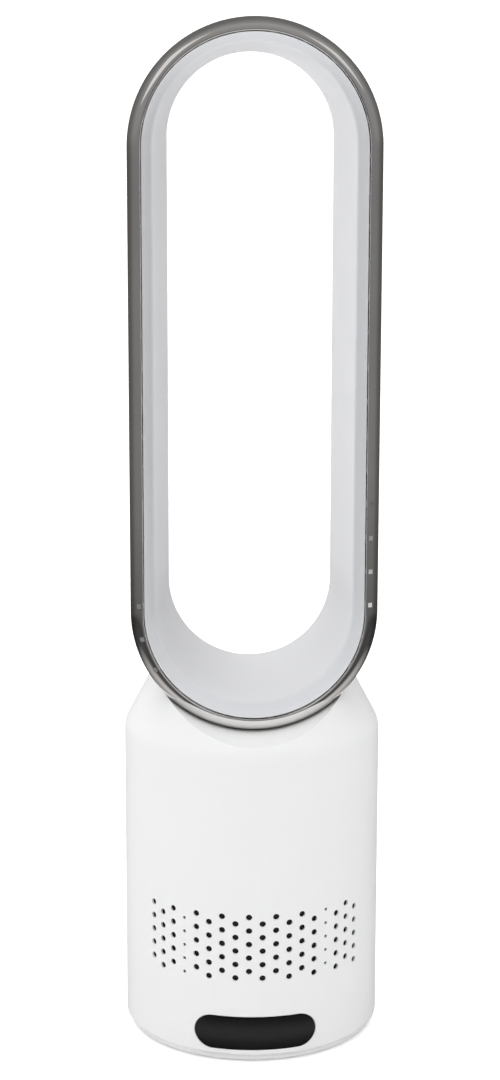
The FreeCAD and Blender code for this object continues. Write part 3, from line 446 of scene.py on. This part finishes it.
def make_rim_bead():
    """The polished bead round the loop's front."""
    piece = loop_ring("rim_bead_polished", bead_section(), MATERIALS["rim_mirror"])
    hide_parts("rim_bead")
    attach(piece, "head")


def run_from_bottom(distance):
    """The run of a place this far along the spacers' line from the loop's lowest point."""
    quarter = math.pi * SPACER_LINE / 2
    if distance < quarter:
        return 0.5 + distance / (2 * quarter)
    return 1.0 + (distance - quarter) / (ARC_HIGH - ARC_LOW)


def make_spacer_mark(side, index):
    """The pale square that shows on the bead in front of one spacer, its brightness painted light.
    """
    outer = LOOP_RADIUS - BEAD_CREST
    centre = (BEAD_CREST, LOOP_FRONT + outer)
    across = arc(centre, outer + MARK_LIFT, MARK_FROM, MARK_TO, MARK_STEPS)
    middle = (index + 0.5) * SPACER_PITCH
    sign = 1 if side == "right" else -1
    points = []
    for step in range(MARK_STEPS + 1):
        run = run_from_bottom(middle + (step / MARK_STEPS - 0.5) * MARK_LENGTH)
        for w, front in across:
            x, y, z = loop_place(w, front, run)
            points.append((sign * x, y, z))
    wide = len(across)
    faces = []
    for i in range(MARK_STEPS):
        for j in range(wide - 1):
            a = i * wide + j
            faces.append((a, a + 1, a + 1 + wide, a + wide))
    piece = mesh_piece(f"spacer_mark_{side}_{index}", points, faces, MATERIALS["spacer_mark"])
    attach(piece, "head")


def make_throat():
    """The inner wall: its face is the front chamfer, the tapering throat and the rounded
    rear edge, and its back lies a wall's thickness behind them."""
    rear = WALL_HIGH[1]
    seam = REAR_SEAM - SEAM_GAP
    face = [
        (LIP, LOOP_FRONT + 1.5 * MM, LIP_ROUNDING),
        (CHAMFER, CHAMFER_Y, CHAMFER_ROUNDING),
        (THROAT, rear - REAR_ROUNDING, THROAT_ROUNDING),
        (THROAT, rear, REAR_ROUNDING * 0.9),
        (seam, rear, SEAM_ROUNDING),
    ]
    back = [
        (seam, rear - LOOP_WALL, 0),
        (THROAT + LOOP_WALL, rear - LOOP_WALL, REAR_ROUNDING - LOOP_WALL),
        (CHAMFER + LOOP_WALL, CHAMFER_Y + 0.8 * MM, CHAMFER_ROUNDING - 2 * MM),
        (LIP + 0.2 * MM, LOOP_FRONT + 2.9 * MM, 0.1 * MM),
    ]
    section = softened(face + back)
    piece = loop_ring("loop_throat", section, MATERIALS["throat_white"])
    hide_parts("loop_inner_wall")
    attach(piece, "head")


# ---------------------------------------------------------------- studio
WARM = (1.0, 0.985, 0.965)
FLOOR_RADIUS = 60.0
FLOOR_CORNERS = 96
FLOOR_GLOW = 0.2
CEILING_STRENGTH = 2.25
AIM = (0.0, 0.0, 0.6)
SUN_SPREAD = math.radians(70.0)
SUN_TOP = 0.35
SUN_LEFT = 0.32
SUN_RIGHT = 0.25
SOFTBOX_LEFT = 2.2
SOFTBOX_RIGHT = 1.1
REAR_LEFT = 16.5
REAR_RIGHT = 1.6


def area_light(name, place, size, power):
    """A square panel of light, turned towards the fan."""
    data = bpy.data.lights.new(name, "AREA")
    data.shape = "SQUARE"
    data.size = size
    data.energy = power
    light = bpy.data.objects.new(name, data)
    bpy.context.scene.collection.objects.link(light)
    light.location = place
    light.rotation_euler = (Vector(AIM) - Vector(place)).to_track_quat("-Z", "Y").to_euler()
    return light


def make_floor():
    """A pale paper floor, kept out of the reflections in the fan's polished surfaces."""
    material, tree, shader, where = new_material("studio_floor")
    paper = ramp(tree, noise(tree, where, 3.0), (0.86, 0.86, 0.86), (0.88, 0.88, 0.88))
    tree.links.new(paper, shader.inputs["Base Color"])
    shader.inputs["Roughness"].default_value = 1.0
    shader.inputs["Specular IOR Level"].default_value = 0.0
    shader.inputs["Emission Color"].default_value = (*WHITE, 1.0)
    shader.inputs["Emission Strength"].default_value = FLOOR_GLOW
    points = []
    for corner in range(FLOOR_CORNERS):
        angle = 2 * math.pi * corner / FLOOR_CORNERS
        points.append((FLOOR_RADIUS * math.cos(angle), FLOOR_RADIUS * math.sin(angle), 0.0))
    mesh = bpy.data.meshes.new("studio_floor")
    mesh.from_pydata(points, [], [tuple(range(FLOOR_CORNERS))])
    mesh.materials.append(material)
    floor = bpy.data.objects.new("studio_floor", mesh)
    bpy.context.scene.collection.objects.link(floor)
    floor.visible_glossy = False


def direction_tones(tree, direction, axis, stops, tint=WHITE):
    """Tinted greys at stops of a direction's X, Y or Z, which goes from -1 to 1."""
    shares = [((component + 1) / 2, grey) for component, grey in stops]
    return tones(tree, axis_share(tree, direction, axis, -1.0, 1.0), shares, tint)


def backdrop_shader(tree, colour=None, strength=1.0):
    """Light from the world: white, or of a colour."""
    node = tree.nodes.new("ShaderNodeBackground")
    node.inputs["Color"].default_value = (*WHITE, 1.0)
    node.inputs["Strength"].default_value = strength
    if colour:
        tree.links.new(colour, node.inputs["Color"])
    return node.outputs["Background"]


def shader_mix(tree, choice, first, second):
    """The first shader where the choice is 0 and the second where it is 1."""
    node = tree.nodes.new("ShaderNodeMixShader")
    tree.links.new(choice, node.inputs[0])
    tree.links.new(first, node.inputs[1])
    tree.links.new(second, node.inputs[2])
    return node.outputs["Shader"]


def make_world():
    """The studio: a white backdrop, white light from the ceiling, and dark walls for polished
    parts to mirror, brightest below and in front."""
    world = bpy.data.worlds.new("studio")
    bpy.context.scene.world = world
    world.use_nodes = True
    tree = world.node_tree
    tree.nodes.remove(tree.nodes["Background"])
    place = tree.nodes.new("ShaderNodeTexCoord")
    direction = place.outputs["Generated"]
    height = direction_tones(tree, direction, "Z", (
        (-1.0, 0.75), (-0.70, 0.70), (-0.50, 0.08), (-0.30, 0.05), (-0.20, 0.22), (-0.08, 0.20),
        (0.0, 0.26), (0.35, 0.30), (0.69, 0.35), (0.88, 0.28), (1.0, 0.28)), WARM)
    depth = direction_tones(tree, direction, "Y", (
        (-1.0, 1.0), (-0.6, 0.95), (-0.3, 0.80), (0.0, 0.58), (0.4, 0.50), (1.0, 0.42)))
    ceiling = direction_tones(tree, direction, "Z", ((-1.0, 0.0), (0.3, 0.0), (1.0, 1.0)))
    path = tree.nodes.new("ShaderNodeLightPath")
    room = shader_mix(tree, path.outputs["Is Glossy Ray"],
                      backdrop_shader(tree, ceiling, CEILING_STRENGTH),
                      backdrop_shader(tree, mixed(tree, height, depth)))
    whole = shader_mix(tree, path.outputs["Is Camera Ray"], room, backdrop_shader(tree))
    tree.links.new(whole, tree.nodes["World Output"].inputs["Surface"])


def soft_sun(name, towards, energy):
    """Broad light from one side, left out of the reflections."""
    data = bpy.data.lights.new(name, "SUN")
    data.energy = energy
    data.angle = SUN_SPREAD
    light = bpy.data.objects.new(name, data)
    bpy.context.scene.collection.objects.link(light)
    light.rotation_euler = (-Vector(towards)).to_track_quat("-Z", "Y").to_euler()
    light.visible_glossy = False


make_rim_bead()
make_throat()
for side, indexes in MARKS.items():
    for index in indexes:
        make_spacer_mark(side, index)
make_floor()
make_world()
soft_sun("light_top", (-0.2, -0.3, 0.93), SUN_TOP)
soft_sun("light_left", (-1.0, -0.3, 0.5), SUN_LEFT)
soft_sun("light_right", (1.0, -0.3, 0.5), SUN_RIGHT)
area_light("softbox_left", (-1.27, -1.87, 1.87), 1.2, SOFTBOX_LEFT)
area_light("softbox_right", (1.27, -1.87, 1.87), 0.9, SOFTBOX_RIGHT)
for sign, power in ((-1, REAR_LEFT), (1, REAR_RIGHT)):
    panel = area_light("rear_panel", (sign * 1.5, 1.6, 0.9), 1.2, power)
    panel.visible_glossy = False

# ---------------------------------------------------------------- camera
CAMERA_PLACE = (-0.0779, -2.2402, 0.9685)
CAMERA_TURN = (math.pi / 2 - 0.227, -0.0018, -0.0335)
LENS_MM = 85.89
SENSOR_MM = 36.0

camera_data = bpy.data.cameras.new("camera")
camera_data.lens = LENS_MM
camera_data.sensor_width = SENSOR_MM
camera = bpy.data.objects.new("camera", camera_data)
camera.location = CAMERA_PLACE
camera.rotation_euler = CAMERA_TURN
bpy.context.scene.collection.objects.link(camera)
bpy.context.scene.camera = camera
bpy.context.scene.view_settings.view_transform = "Standard"
